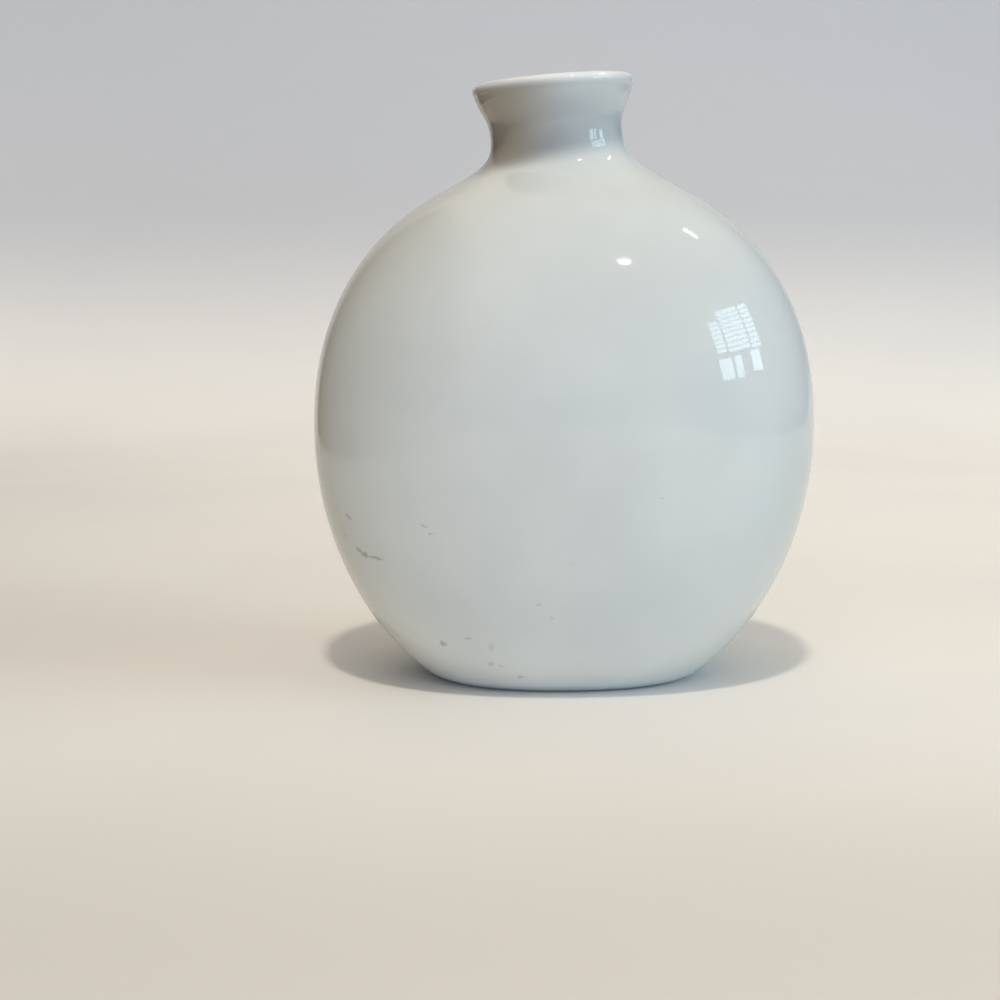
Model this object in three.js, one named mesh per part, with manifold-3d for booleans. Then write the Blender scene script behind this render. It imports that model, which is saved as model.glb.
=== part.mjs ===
// Bud vase: a flask pressed flat, with a waisted neck set a little crooked on its shoulder.
// It is put together as a potter lutes it: two half shells, a neck and a foot, bonded by seams of slip.
// Millimetres, +Z up, the front towards -Y, the origin on the table under the middle of the body.

import * as THREE from "three";
import { mergeVertices } from "three/addons/utils/BufferGeometryUtils.js";
import ManifoldModule from "manifold-3d";

// Body: widest and deepest at the belly, drawn in to the base below and to the neck's seat above
const BODY_WIDTH = 106.4;
const BODY_DEPTH = 78;
const BELLY_HEIGHT = 54;
const BASE_WIDTH = 55.8;
const BASE_DEPTH = 41.4;
const SEAT_HEIGHT = 102;
const SEAT_WIDTH = 55.8;
const SEAT_DEPTH = 42.6;

// How full the curves are: 2 is an ellipse, more is squarer
const SHOULDER_FULLNESS = 2.15;
const FLANK_FULLNESS = 2.03;
const FACE_FULLNESS = 2.1;
const SECTION_FULLNESS = 2.24;

// Clay walls, and the slip between two members
const WALL = 3.2;
const SEAM = 0.8;

// Neck: heights are along its own leaning axis
const WAIST_WIDTH = 27.7;
const WAIST_RISE = 12.4;
const WAIST_OFFSET = -1.8;
const NECK_LEAN = 4.6;
const LIP_WIDTH = 33.9;
const LIP_RISE = 9.7;
const LIP_RADIUS = 1.5;
const LIP_UNDERCUT = 40;
const FLARE_SLOPE = 13;
const FLARE_REACH = 4;
const SPREAD_TIGHTNESS = 0.88;

// Foot: an oval dish with a ring to stand on
const RING_WIDTH = 4;
const RECESS_DEPTH = 1.2;
const EDGE_RADIUS = 2.2;
const DISH_DEPTH = 2.6;
const FLOOR_FILLET = 1.6;

// Finishes: glossy white glaze, bare fired clay on the foot, and slip in the seams
const GLAZE = { color: 0xf0f1ee, roughness: 0.12, metalness: 0 };
const BARE_CLAY = { color: 0xe9e6df, roughness: 0.6, metalness: 0 };
const SLIP = { color: 0xece9e2, roughness: 0.5, metalness: 0 };

// Facets
const AROUND = 56;
const SHELL_STEPS = 11;
const SHELL_SWEEP = 60;
const SPREAD_STEPS = 7;
const FLARE_STEPS = 5;
const LIP_STEPS = 7;
const EDGE_STEPS = 4;
const FOOT_WALL_STEPS = 2;

// Worked out from the sizes above
const FLOOR_TOP = RECESS_DEPTH + WALL;
const FOOT_TOP = FLOOR_TOP + DISH_DEPTH;
const SHELL_BOTTOM = FOOT_TOP + SEAM;
const NECK_BOTTOM = SEAT_HEIGHT + SEAM;
const WAIST_CENTRE = new THREE.Vector3(WAIST_OFFSET, 0, NECK_BOTTOM + WAIST_RISE);
const LEAN_AXIS = new THREE.Vector3(0, -1, 0);
const LEAN = THREE.MathUtils.degToRad(NECK_LEAN);
const SLOPE_STEP = 0.01;
const ANGLES = Array.from({ length: AROUND }, (_, step) => (2 * Math.PI * step) / AROUND);

const wasm = await ManifoldModule();
wasm.setup();

// Half a size at the fraction t of the way from the belly (0) to an end (1), along a superellipse
function swell(belly, end, t, fullness) {
  const drawnIn = 1 - (end / belly) ** fullness;
  return (belly / 2) * (1 - drawnIn * t ** fullness) ** (1 / fullness);
}

// Half width and half depth of the body's outside at a height
function outside(z) {
  if (z >= BELLY_HEIGHT) {
    const t = (z - BELLY_HEIGHT) / (SEAT_HEIGHT - BELLY_HEIGHT);
    const width = swell(BODY_WIDTH, SEAT_WIDTH, t, SHOULDER_FULLNESS);
    return { width, depth: swell(BODY_DEPTH, SEAT_DEPTH, t, FACE_FULLNESS) };
  }
  const t = (BELLY_HEIGHT - z) / BELLY_HEIGHT;
  const width = swell(BODY_WIDTH, BASE_WIDTH, t, FLANK_FULLNESS);
  return { width, depth: swell(BODY_DEPTH, BASE_DEPTH, t, FACE_FULLNESS) };
}

// The inside at a height: the wall is measured square to the outside, so it is wider where that slopes
function inside(z) {
  const here = outside(z);
  const below = outside(z - SLOPE_STEP);
  const widthSlope = (here.width - below.width) / SLOPE_STEP;
  const depthSlope = (here.depth - below.depth) / SLOPE_STEP;
  const width = here.width - WALL * Math.hypot(1, widthSlope);
  return { width, depth: here.depth - WALL * Math.hypot(1, depthSlope) };
}

// One point of a superelliptic section, drawn in by an inset
function sectionPoint(size, angle, z, inset = 0) {
  const power = 2 / SECTION_FULLNESS;
  const across = Math.cos(angle);
  const along = Math.sin(angle);
  const x = (size.width - inset) * Math.sign(across) * Math.abs(across) ** power;
  const y = (size.depth - inset) * Math.sign(along) * Math.abs(along) ** power;
  return new THREE.Vector3(x, y, z);
}

function section(size, z, inset = 0) {
  return ANGLES.map((angle) => sectionPoint(size, angle, z, inset));
}

// One point of the neck, from its radius and its height above the waist along the leaning axis
function neckPoint(radius, angle, height) {
  const point = new THREE.Vector3(radius * Math.cos(angle), radius * Math.sin(angle), height);
  return point.applyAxisAngle(LEAN_AXIS, LEAN).add(WAIST_CENTRE);
}

function neckRing(point) {
  return ANGLES.map((angle) => neckPoint(point.x, angle, point.y));
}

// A solid whose skin runs through rings in turn: round to the first again, or from a first to a last point
function ringSolid(rings, poles) {
  const points = rings.flat();
  const triangles = [];
  const corner = (ring, step) => (ring % rings.length) * AROUND + (step % AROUND);
  const bands = poles ? rings.length - 1 : rings.length;
  for (let ring = 0; ring < bands; ring += 1) {
    for (let step = 0; step < AROUND; step += 1) {
      const near = corner(ring, step);
      const far = corner(ring + 1, step + 1);
      triangles.push(near, corner(ring, step + 1), far);
      triangles.push(near, far, corner(ring + 1, step));
    }
  }
  if (poles) {
    const first = points.push(poles.first) - 1;
    const last = points.push(poles.last) - 1;
    for (let step = 0; step < AROUND; step += 1) {
      triangles.push(first, corner(0, step + 1), corner(0, step));
      triangles.push(last, corner(rings.length - 1, step), corner(rings.length - 1, step + 1));
    }
  }
  const geometry = new THREE.BufferGeometry().setFromPoints(points);
  geometry.setIndex(triangles);
  return geometry;
}

function toManifold(geometry) {
  const vertProperties = new Float32Array(geometry.getAttribute("position").array);
  const triVerts = new Uint32Array(geometry.getIndex().array);
  return new wasm.Manifold(new wasm.Mesh({ numProp: 3, vertProperties, triVerts }));
}

function toGeometry(manifold) {
  const { vertProperties, triVerts } = manifold.getMesh();
  const geometry = new THREE.BufferGeometry();
  geometry.setAttribute("position", new THREE.BufferAttribute(vertProperties, 3));
  geometry.setIndex(new THREE.BufferAttribute(triVerts, 1));
  return geometry;
}

// A block between two corners, for cutting
function block(low, high) {
  const size = high.clone().sub(low);
  const geometry = new THREE.BoxGeometry(size.x, size.y, size.z);
  const middle = low.clone().add(high).divideScalar(2);
  geometry.translate(middle.x, middle.y, middle.z);
  geometry.deleteAttribute("normal");
  geometry.deleteAttribute("uv");
  return toManifold(mergeVertices(geometry));
}

// Heights of the body's rings, closer together towards the base and the seat
function shellHeights() {
  const sweep = THREE.MathUtils.degToRad(SHELL_SWEEP);
  const heights = [];
  for (let step = -SHELL_STEPS; step <= SHELL_STEPS; step += 1) {
    const end = step < 0 ? SHELL_BOTTOM : SEAT_HEIGHT;
    const part = Math.sin((sweep * Math.abs(step)) / SHELL_STEPS) / Math.sin(sweep);
    heights.push(BELLY_HEIGHT + (end - BELLY_HEIGHT) * part);
  }
  return heights;
}

// The whole body wall, open at the shoulder and below, before it is parted into halves and seams
function bodyWall() {
  const heights = shellHeights();
  const outer = heights.map((z) => section(outside(z), z));
  const inner = heights.map((z) => section(inside(z), z)).reverse();
  return toManifold(ringSolid([...outer, ...inner]));
}

// The band of body wall between two heights that a ring of slip fills
function seamRing(low, high) {
  const outer = [section(outside(low), low), section(outside(high), high)];
  const inner = [section(inside(high), high), section(inside(low), low)];
  return ringSolid([...outer, ...inner]);
}

// The neck's spreading foot at one angle: it leaves along the shoulder's slope and ends on the neck
function spreadCurve(size, radius, angle) {
  const start = sectionPoint(size(NECK_BOTTOM), angle, NECK_BOTTOM);
  const below = NECK_BOTTOM - SLOPE_STEP;
  const slope = start.clone().sub(sectionPoint(size(below), angle, below)).normalize();
  const end = neckPoint(radius, angle, 0);
  const across = Math.hypot(end.x - start.x, end.y - start.y);
  const reach = Math.min(across / Math.hypot(slope.x, slope.y), (end.z - start.z) / slope.z);
  const corner = start.clone().addScaledVector(slope, reach);
  const leave = start.clone().lerp(corner, SPREAD_TIGHTNESS);
  const foot = neckPoint(radius, angle, -(end.z - corner.z));
  const arrive = end.clone().lerp(foot, SPREAD_TIGHTNESS);
  return new THREE.CubicBezierCurve3(start, leave, arrive, end);
}

function spreadRings(size, radius) {
  const curves = ANGLES.map((angle) => spreadCurve(size, radius, angle));
  const steps = Array.from({ length: SPREAD_STEPS + 1 }, (_, step) => step / SPREAD_STEPS);
  return steps.map((part) => curves.map((curve) => curve.getPoint(part)));
}

// A trumpet flare, as radius and height: upright at the waist, and at its own slope where it meets the lip
function flare(waist, edge) {
  const slope = THREE.MathUtils.degToRad(FLARE_SLOPE);
  const approach = new THREE.Vector2(Math.sin(slope), Math.cos(slope)).multiplyScalar(FLARE_REACH);
  const start = new THREE.Vector2(waist, 0);
  const leave = new THREE.Vector2(waist, FLARE_REACH);
  return new THREE.CubicBezierCurve(start, leave, edge.clone().sub(approach), edge).getPoints(FLARE_STEPS);
}

// The neck's profile above the waist: up the flare, over the rounded lip and down the bore
function neckProfile() {
  const lipCentre = LIP_WIDTH / 2 - LIP_RADIUS;
  const undercut = -THREE.MathUtils.degToRad(LIP_UNDERCUT);
  const lip = new THREE.EllipseCurve(lipCentre, LIP_RISE, LIP_RADIUS, LIP_RADIUS, undercut, Math.PI);
  const lipPoints = lip.getPoints(LIP_STEPS);
  const outer = flare(WAIST_WIDTH / 2, lipPoints[0]);
  const bore = flare(WAIST_WIDTH / 2 - WALL, lipPoints[LIP_STEPS]).reverse();
  return [...outer.slice(1), ...lipPoints.slice(1), ...bore.slice(1, -1)];
}

function neckSolid() {
  const outer = spreadRings(outside, WAIST_WIDTH / 2);
  const inner = spreadRings(inside, WAIST_WIDTH / 2 - WALL).reverse();
  return ringSolid([...outer, ...neckProfile().map(neckRing), ...inner]);
}

// The foot, from the middle of its recessed underside round the standing ring and the rim to its floor
function footSolid() {
  const base = outside(0);
  const ringInset = EDGE_RADIUS + RING_WIDTH;
  const rings = [section(base, RECESS_DEPTH, ringInset + RECESS_DEPTH), section(base, 0, ringInset)];
  for (let step = 0; step <= EDGE_STEPS; step += 1) {
    const turn = (Math.PI / 2) * (step / EDGE_STEPS);
    const z = EDGE_RADIUS * (1 - Math.cos(turn));
    rings.push(section(outside(z), z, EDGE_RADIUS * (1 - Math.sin(turn))));
  }
  for (let step = 1; step <= FOOT_WALL_STEPS; step += 1) {
    const z = EDGE_RADIUS + (FOOT_TOP - EDGE_RADIUS) * (step / FOOT_WALL_STEPS);
    rings.push(section(outside(z), z));
  }
  rings.push(section(inside(FOOT_TOP), FOOT_TOP));
  for (let step = 0; step <= EDGE_STEPS; step += 1) {
    const turn = (Math.PI / 2) * (step / EDGE_STEPS);
    const z = FLOOR_TOP + FLOOR_FILLET * (1 - Math.sin(turn));
    rings.push(section(inside(z), z, FLOOR_FILLET * (1 - Math.cos(turn))));
  }
  const first = new THREE.Vector3(0, 0, RECESS_DEPTH);
  const last = new THREE.Vector3(0, 0, FLOOR_TOP);
  return ringSolid(rings, { first, last });
}

const vase = new THREE.Group();

function addPiece(name, geometry, finish) {
  geometry.computeVertexNormals();
  const mesh = new THREE.Mesh(geometry, new THREE.MeshStandardMaterial(finish));
  mesh.name = name;
  vase.add(mesh);
}

// The part of the body wall between two distances across and two distances back from the middle
const wall = bodyWall();
function wallPart(x1, x2, y1, y2) {
  const low = new THREE.Vector3(x1, y1, 0);
  const high = new THREE.Vector3(x2, y2, SEAT_HEIGHT + WALL);
  return toGeometry(wall.intersect(block(low, high)));
}

addPiece("front_shell", wallPart(-BODY_WIDTH, BODY_WIDTH, -BODY_DEPTH, -SEAM / 2), GLAZE);
addPiece("rear_shell", wallPart(-BODY_WIDTH, BODY_WIDTH, SEAM / 2, BODY_DEPTH), GLAZE);
addPiece("neck", neckSolid(), GLAZE);
addPiece("foot", footSolid(), BARE_CLAY);
addPiece("left_seam", wallPart(-BODY_WIDTH, 0, -SEAM / 2, SEAM / 2), SLIP);
addPiece("right_seam", wallPart(0, BODY_WIDTH, -SEAM / 2, SEAM / 2), SLIP);
addPiece("neck_seam", seamRing(SEAT_HEIGHT, NECK_BOTTOM), SLIP);
addPiece("foot_seam", seamRing(FOOT_TOP, SHELL_BOTTOM), SLIP);

export default vase;
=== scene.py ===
# %% [markdown]
# # A white glazed bud vase
# The real vase is a flattened round flask of white clay with a short crooked neck, dipped in a clear
# white glaze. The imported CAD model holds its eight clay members: two half shells, a neck, a foot and
# the four seams of slip that lute them together.
# Here each member is drawn again as a fine numpy surface in the same place, glazed with procedural
# materials, and set on a pale cove under soft lamps. The frame is loaded first, because every size
# that the CAD model already fixes is read from it and not typed again.

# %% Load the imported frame
import math

import bpy
import numpy as np
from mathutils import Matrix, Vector


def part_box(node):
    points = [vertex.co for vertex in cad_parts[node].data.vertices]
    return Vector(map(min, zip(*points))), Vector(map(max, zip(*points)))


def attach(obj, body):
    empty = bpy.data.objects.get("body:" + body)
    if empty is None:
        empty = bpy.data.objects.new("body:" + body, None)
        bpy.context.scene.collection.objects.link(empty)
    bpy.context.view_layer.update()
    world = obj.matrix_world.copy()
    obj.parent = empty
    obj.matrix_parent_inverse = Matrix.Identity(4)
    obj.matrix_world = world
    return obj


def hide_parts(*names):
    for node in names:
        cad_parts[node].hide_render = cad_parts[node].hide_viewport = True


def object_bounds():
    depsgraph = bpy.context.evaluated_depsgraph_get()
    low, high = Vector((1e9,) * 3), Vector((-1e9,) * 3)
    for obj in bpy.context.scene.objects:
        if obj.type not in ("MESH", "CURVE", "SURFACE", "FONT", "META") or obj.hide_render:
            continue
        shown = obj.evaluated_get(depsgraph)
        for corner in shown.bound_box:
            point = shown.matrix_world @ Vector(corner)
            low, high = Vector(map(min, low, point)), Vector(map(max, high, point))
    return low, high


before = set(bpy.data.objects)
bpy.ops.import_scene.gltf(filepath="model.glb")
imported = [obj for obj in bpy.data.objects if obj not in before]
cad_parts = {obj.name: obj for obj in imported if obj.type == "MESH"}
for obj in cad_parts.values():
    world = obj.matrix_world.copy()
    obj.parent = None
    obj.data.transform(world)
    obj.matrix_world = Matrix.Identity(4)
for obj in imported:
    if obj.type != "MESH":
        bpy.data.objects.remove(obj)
cad_low, cad_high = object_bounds()
print("CAD nodes:", ", ".join(sorted(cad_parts)))
print("CAD box, mm:", [round(1000 * side, 2) for side in cad_high - cad_low])

# %% [markdown]
# ## Sizes
# A potter would measure the vase at its belly, its base and the seat where the neck joins. Those
# levels are edges of CAD nodes, so they come from the nodes' boxes. The rest are the same driving
# sizes as in the part's source, in metres, because a box can't show how full a curve is.

# %% Sizes of the body
MM = 0.001
shell_low, shell_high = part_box("front_shell")
seat_low, seat_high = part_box("neck_seam")
foot_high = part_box("foot")[1]
strip_low, strip_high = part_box("left_seam")

BODY_WIDTH = cad_high.x - cad_low.x
BODY_DEPTH = cad_high.y - cad_low.y
SEAT_WIDTH = seat_high.x - seat_low.x
SEAT_DEPTH = seat_high.y - seat_low.y
SEAT_HEIGHT = shell_high.z
SHELL_BOTTOM = shell_low.z
NECK_BOTTOM = seat_high.z
FOOT_TOP = foot_high.z
SEAM = strip_high.y - strip_low.y

BELLY_HEIGHT = 54 * MM
BASE_WIDTH = 55.8 * MM
BASE_DEPTH = 41.4 * MM
WALL = 3.2 * MM
SHOULDER_FULLNESS = 2.15
FLANK_FULLNESS = 2.03
FACE_FULLNESS = 2.1
SECTION_FULLNESS = 2.24
print("Seat %.1f x %.1f mm at %.1f mm up" % (SEAT_WIDTH / MM, SEAT_DEPTH / MM, SEAT_HEIGHT / MM))

# %% [markdown]
# ## The body's curve
# Seen from the front the body is a full round, and seen from the side a narrower oval. It could be
# modelled as a squashed ball, but a ball has one roundness everywhere. Here each level is a
# superellipse, and its half width and half depth follow a superellipse of their own from the belly
# to the seat above and the base below, so each stretch can be as full as the real one.

# %% Half sizes at every height
SLOPE_STEP = 0.01 * MM


def swell(belly, end, share, fullness):
    """Half a size at a share of the way from the belly (0) to an end (1).

    The belly's half size times (1 - drawn * share^f)^(1/f), where f is the fullness and drawn is
    what makes it half the end's size at a share of 1.
    """
    drawn = 1 - (end / belly) ** fullness
    return belly / 2 * (1 - drawn * share ** fullness) ** (1 / fullness)


def outside(z):
    """Half width and half depth of the body's outside at heights z, one swell above and one below."""
    z = np.asarray(z, float)
    rise = np.maximum(z - BELLY_HEIGHT, 0) / (SEAT_HEIGHT - BELLY_HEIGHT)
    drop = np.maximum(BELLY_HEIGHT - z, 0) / BELLY_HEIGHT
    above = z >= BELLY_HEIGHT
    width_above = swell(BODY_WIDTH, SEAT_WIDTH, rise, SHOULDER_FULLNESS)
    width_below = swell(BODY_WIDTH, BASE_WIDTH, drop, FLANK_FULLNESS)
    depth_above = swell(BODY_DEPTH, SEAT_DEPTH, rise, FACE_FULLNESS)
    depth_below = swell(BODY_DEPTH, BASE_DEPTH, drop, FACE_FULLNESS)
    return np.where(above, width_above, width_below), np.where(above, depth_above, depth_below)


def slopes(size, z):
    """How fast the half width and half depth of a size function grow with height, at heights z."""
    width, depth = size(z)
    width_below, depth_below = size(np.asarray(z, float) - SLOPE_STEP)
    return (width - width_below) / SLOPE_STEP, (depth - depth_below) / SLOPE_STEP


def inside(z):
    """Half sizes of the hollow: the outside less the wall, measured square to the outside's slope."""
    width, depth = outside(z)
    width_slope, depth_slope = slopes(outside, z)
    return width - WALL * np.hypot(1, width_slope), depth - WALL * np.hypot(1, depth_slope)


belly_width, belly_depth = outside(BELLY_HEIGHT)
print("Belly %.1f x %.1f mm" % (2 * belly_width / MM, 2 * belly_depth / MM))

# %% Points and normals of a level
def level(width, depth, angle, z):
    """Points of superelliptic levels: x = width * cos^(2/n) and y = depth * sin^(2/n), signs kept."""
    power = 2 / SECTION_FULLNESS
    x = width * np.sign(np.cos(angle)) * np.abs(np.cos(angle)) ** power
    y = depth * np.sign(np.sin(angle)) * np.abs(np.sin(angle)) ** power
    return np.stack(np.broadcast_arrays(x, y, z), axis=-1)


def unit(vectors):
    """The same directions, each one long."""
    return vectors / np.linalg.norm(vectors, axis=-1, keepdims=True)


def level_normals(size, points):
    """Outward normals of a wall, as the gradient of |x/width|^n + |y/depth|^n at each point."""
    x, y, z = np.moveaxis(points, -1, 0)
    width, depth = size(z)
    width_slope, depth_slope = slopes(size, z)
    n = SECTION_FULLNESS
    share_x = np.abs(x / width)
    share_y = np.abs(y / depth)
    across = np.sign(x) * share_x ** (n - 1) / width
    along = np.sign(y) * share_y ** (n - 1) / depth
    up = -(share_x ** n * width_slope / width + share_y ** n * depth_slope / depth)
    return unit(np.stack([across, along, up], axis=-1))


# %% [markdown]
# ## From grids to a piece
# Every surface below is a grid of points with a normal at each. A clay member has several: its
# outside, its inside and the flat faces where it is luted to the next. Joining them by hand with
# bmesh would be slow, so one helper welds the grids where they meet, turns each quad to face the way
# its normals point, and keeps the normals, so that the members show no facets and no joint line.

# %% Weld grids into one closed mesh
WELD = 1e-7


def grid_quads(points, normals, first):
    """Corner numbers of a grid's quads, counted from first, turned so that they face along the normals."""
    rows, columns = points.shape[:2]
    number = first + np.arange(rows * columns).reshape(rows, columns)
    quads = np.stack([number[:-1, :-1], number[:-1, 1:], number[1:, 1:], number[1:, :-1]], axis=-1)
    down = points[1:, :-1] - points[:-1, 1:]
    over = points[1:, 1:] - points[:-1, :-1]
    facing = np.sum(np.cross(over, down) * normals[:-1, :-1])
    quads = quads.reshape(-1, 4)
    return quads if facing > 0 else quads[:, ::-1]


def weld(name, grids):
    """A mesh object from (points, normals) grids, with corners that coincide made one."""
    quads = []
    count = 0
    for points, normals in grids:
        quads.append(grid_quads(points, normals, count))
        count += points.shape[0] * points.shape[1]
    quads = np.concatenate(quads)
    points = np.concatenate([grid[0].reshape(-1, 3) for grid in grids])
    normals = np.concatenate([grid[1].reshape(-1, 3) for grid in grids])
    keys = np.round(points / WELD).astype(np.int64)
    _, kept, joined = np.unique(keys, axis=0, return_index=True, return_inverse=True)
    corners = joined.reshape(-1)[quads]
    doubled = corners == np.roll(corners, -1, axis=1)
    whole = doubled.sum(axis=1) == 0
    tips = doubled.sum(axis=1) == 1
    keep_three = ~doubled[tips]
    tip_corners = corners[tips][keep_three].reshape(-1, 3)
    tip_sources = quads[tips][keep_three].reshape(-1, 3)
    mesh = bpy.data.meshes.new(name)
    mesh.from_pydata(points[kept].tolist(), [], corners[whole].tolist() + tip_corners.tolist())
    mesh.shade_smooth()
    sources = np.concatenate([quads[whole].reshape(-1), tip_sources.reshape(-1)])
    mesh.normals_split_custom_set(normals[sources].tolist())
    made = bpy.data.objects.new(name, mesh)
    bpy.context.scene.collection.objects.link(made)
    uses = np.zeros(len(mesh.edges), int)
    loop_edges = np.empty(len(mesh.loops), int)
    mesh.loops.foreach_get("edge_index", loop_edges)
    np.add.at(uses, loop_edges, 1)
    triangles = 2 * int(whole.sum()) + int(tips.sum())
    print("%s: %d triangles, %d open edges" % (name, triangles, int((uses != 2).sum())))
    return made


def flat(first, second, direction):
    """The flat face between two edges of equal length, as a grid of two rows facing a direction."""
    points = np.stack([first, second])
    return points, np.broadcast_to(np.asarray(direction, float), points.shape)


# %% [markdown]
# ## Half shells
# The body is two half shells, luted along the narrow sides. Each half is a wall of even thickness.
# One quarter of a mesh with mirrors would do, but then the normals need mending. The formula gives
# the whole half: at each height the angle runs from one seam's edge to the other's, so the edges lie
# exactly where the seams of slip begin.

# %% Front and rear shells
SHELL_ROWS = 150
SHELL_COLUMNS = 150
shell_heights = np.linspace(SHELL_BOTTOM, SEAT_HEIGHT, SHELL_ROWS)
FRONT = -1
REAR = 1


def seam_angle(depth):
    """The angle of a level at which it is half a seam away from the middle plane."""
    return np.arcsin((SEAM / 2 / depth) ** (SECTION_FULLNESS / 2))


def half_wall(size, half):
    """A half shell's inner or outer wall: rows go up, columns from the left seam to the right one."""
    width, depth = size(shell_heights[:, None])
    across = np.linspace(-1, 1, SHELL_COLUMNS)
    angle = half * (np.pi / 2 - across * (np.pi / 2 - seam_angle(depth)))
    return level(width, depth, angle, shell_heights[:, None])


def half_shell(name, half):
    """A closed half shell: outer wall, inner wall and the four narrow faces between their edges."""
    outer = half_wall(outside, half)
    inner = half_wall(inside, half)
    return weld(name, [
        (outer, level_normals(outside, outer)),
        (inner, -level_normals(inside, inner)),
        flat(outer[-1], inner[-1], (0, 0, 1)),
        flat(outer[0], inner[0], (0, 0, -1)),
        flat(outer[:, 0], inner[:, 0], (0, -half, 0)),
        flat(outer[:, -1], inner[:, -1], (0, -half, 0)),
    ])


front = half_shell("front_shell_glazed", FRONT)
rear = half_shell("rear_shell_glazed", REAR)

# %% [markdown]
# ## Seams of slip
# Slip is clay let down to a cream, and it glues the leather-hard members together. On the fired vase
# it is a thin band that fills the gap, sponged level with the walls. Two upright strips fill the gap
# between the halves, and two rings lie under the neck and above the foot, cut by the same formula as
# the walls, so that each seam fits its gap.

# %% Upright strips and level rings
STRIP_COLUMNS = 5
AROUND = 256
turn = np.linspace(0, 2 * np.pi, AROUND + 1)
turn[-1] = 0
LEFT = np.pi
RIGHT = 0


def strip(name, side):
    """The strip of wall between the halves: angles within half a seam of the left or right side."""
    across = np.linspace(-1, 1, STRIP_COLUMNS)
    grids = []
    for size, outward in ((outside, 1), (inside, -1)):
        width, depth = size(shell_heights[:, None])
        points = level(width, depth, across * seam_angle(depth), shell_heights[:, None])
        if side == LEFT:
            points = points * (-1, 1, 1)
        grids.append((points, outward * level_normals(size, points)))
    outer, inner = grids[0][0], grids[1][0]
    grids.append(flat(outer[-1], inner[-1], (0, 0, 1)))
    grids.append(flat(outer[0], inner[0], (0, 0, -1)))
    grids.append(flat(outer[:, 0], inner[:, 0], (0, -1, 0)))
    grids.append(flat(outer[:, -1], inner[:, -1], (0, 1, 0)))
    return weld(name, grids)


def ring(name, low, high):
    """A level ring of wall between two heights, right round the body."""
    heights = np.linspace(low, high, 3)[:, None]
    outer = level(*outside(heights), turn, heights)
    inner = level(*inside(heights), turn, heights)
    return weld(name, [
        (outer, level_normals(outside, outer)),
        (inner, -level_normals(inside, inner)),
        flat(outer[-1], inner[-1], (0, 0, 1)),
        flat(outer[0], inner[0], (0, 0, -1)),
    ])


left_strip = strip("left_seam_glazed", LEFT)
right_strip = strip("right_seam_glazed", RIGHT)
neck_ring = ring("neck_seam_glazed", SEAT_HEIGHT, NECK_BOTTOM)
foot_ring = ring("foot_seam_glazed", FOOT_TOP, SHELL_BOTTOM)

# %% [markdown]
# ## Neck
# The neck was made apart and set on by hand: it stands about 2 mm off the middle and leans. Its foot
# spreads to meet the shoulder's slope, its waist is round, and it flares to a rolled lip. A lathe
# profile alone can't join a leaning round to a level oval, so the foot is a bundle of Bezier curves,
# one at each angle, and the part above the waist is a profile turned round the leaning axis.

# %% Sizes of the neck
WAIST_RADIUS = 27.7 / 2 * MM
WAIST_RISE = 12.4 * MM
WAIST_OFFSET = -1.8 * MM
NECK_LEAN = math.radians(4.6)
LIP_REACH = 33.9 / 2 * MM
LIP_RISE = 9.7 * MM
LIP_RADIUS = 1.5 * MM
LIP_UNDERCUT = math.radians(40)
FLARE_SLOPE = math.radians(13)
FLARE_REACH = 4 * MM
SPREAD_TIGHTNESS = 0.88
waist_centre = np.array([WAIST_OFFSET, 0, NECK_BOTTOM + WAIST_RISE])
print("Waist centre, mm:", np.round(waist_centre / MM, 2))


def bezier(corners, share):
    """Points at shares of the way along a cubic Bezier curve through four control corners."""
    first, leave, arrive, last = corners
    back = 1 - share
    start_half = back ** 3 * first + 3 * back ** 2 * share * leave
    return start_half + 3 * back * share ** 2 * arrive + share ** 3 * last


def neck_points(radius, angle, height):
    """Points at a radius and a height along the neck's axis, leaned over and set above the shoulder."""
    x = radius * np.cos(angle)
    y = radius * np.sin(angle)
    leaned_x = x * math.cos(NECK_LEAN) - height * math.sin(NECK_LEAN)
    leaned_z = x * math.sin(NECK_LEAN) + height * math.cos(NECK_LEAN)
    return np.stack(np.broadcast_arrays(leaned_x, y, leaned_z), axis=-1) + waist_centre


# %% The neck's spreading foot
def spread(size, radius, rows):
    """Rows of points from the seat to the waist.

    At each angle a Bezier curve leaves the seat along the wall's own slope and arrives along the
    neck's axis. Both handles reach most of the way to the corner where those two lines pass.
    """
    below = NECK_BOTTOM - SLOPE_STEP
    start = level(*size(NECK_BOTTOM), turn, NECK_BOTTOM)
    slope = unit(start - level(*size(below), turn, below))
    end = neck_points(radius, turn, 0)
    plan = np.hypot(end[:, 0] - start[:, 0], end[:, 1] - start[:, 1])
    reach_over = plan / np.hypot(slope[:, 0], slope[:, 1])
    reach_up = (end[:, 2] - start[:, 2]) / slope[:, 2]
    corner = start + slope * np.minimum(reach_over, reach_up)[:, None]
    leave = start + (corner - start) * SPREAD_TIGHTNESS
    foot = neck_points(radius, turn, corner[:, 2] - end[:, 2])
    arrive = end + (foot - end) * SPREAD_TIGHTNESS
    share = np.linspace(0, 1, rows)[:, None, None]
    return bezier((start, leave, arrive, end), share)


# %% The flare and the rolled lip
PROFILE_STEP = 0.12 * MM
GLAZE_FILL = 0.35 * MM


def flare(waist, edge):
    """Radius and height from the waist to the lip: upright below, at the flare's slope above."""
    approach = FLARE_REACH * np.array([math.sin(FLARE_SLOPE), math.cos(FLARE_SLOPE)])
    corners = [np.array([waist, 0]), np.array([waist, FLARE_REACH]), edge - approach, edge]
    return bezier(corners, np.linspace(0, 1, 60)[:, None])


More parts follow.
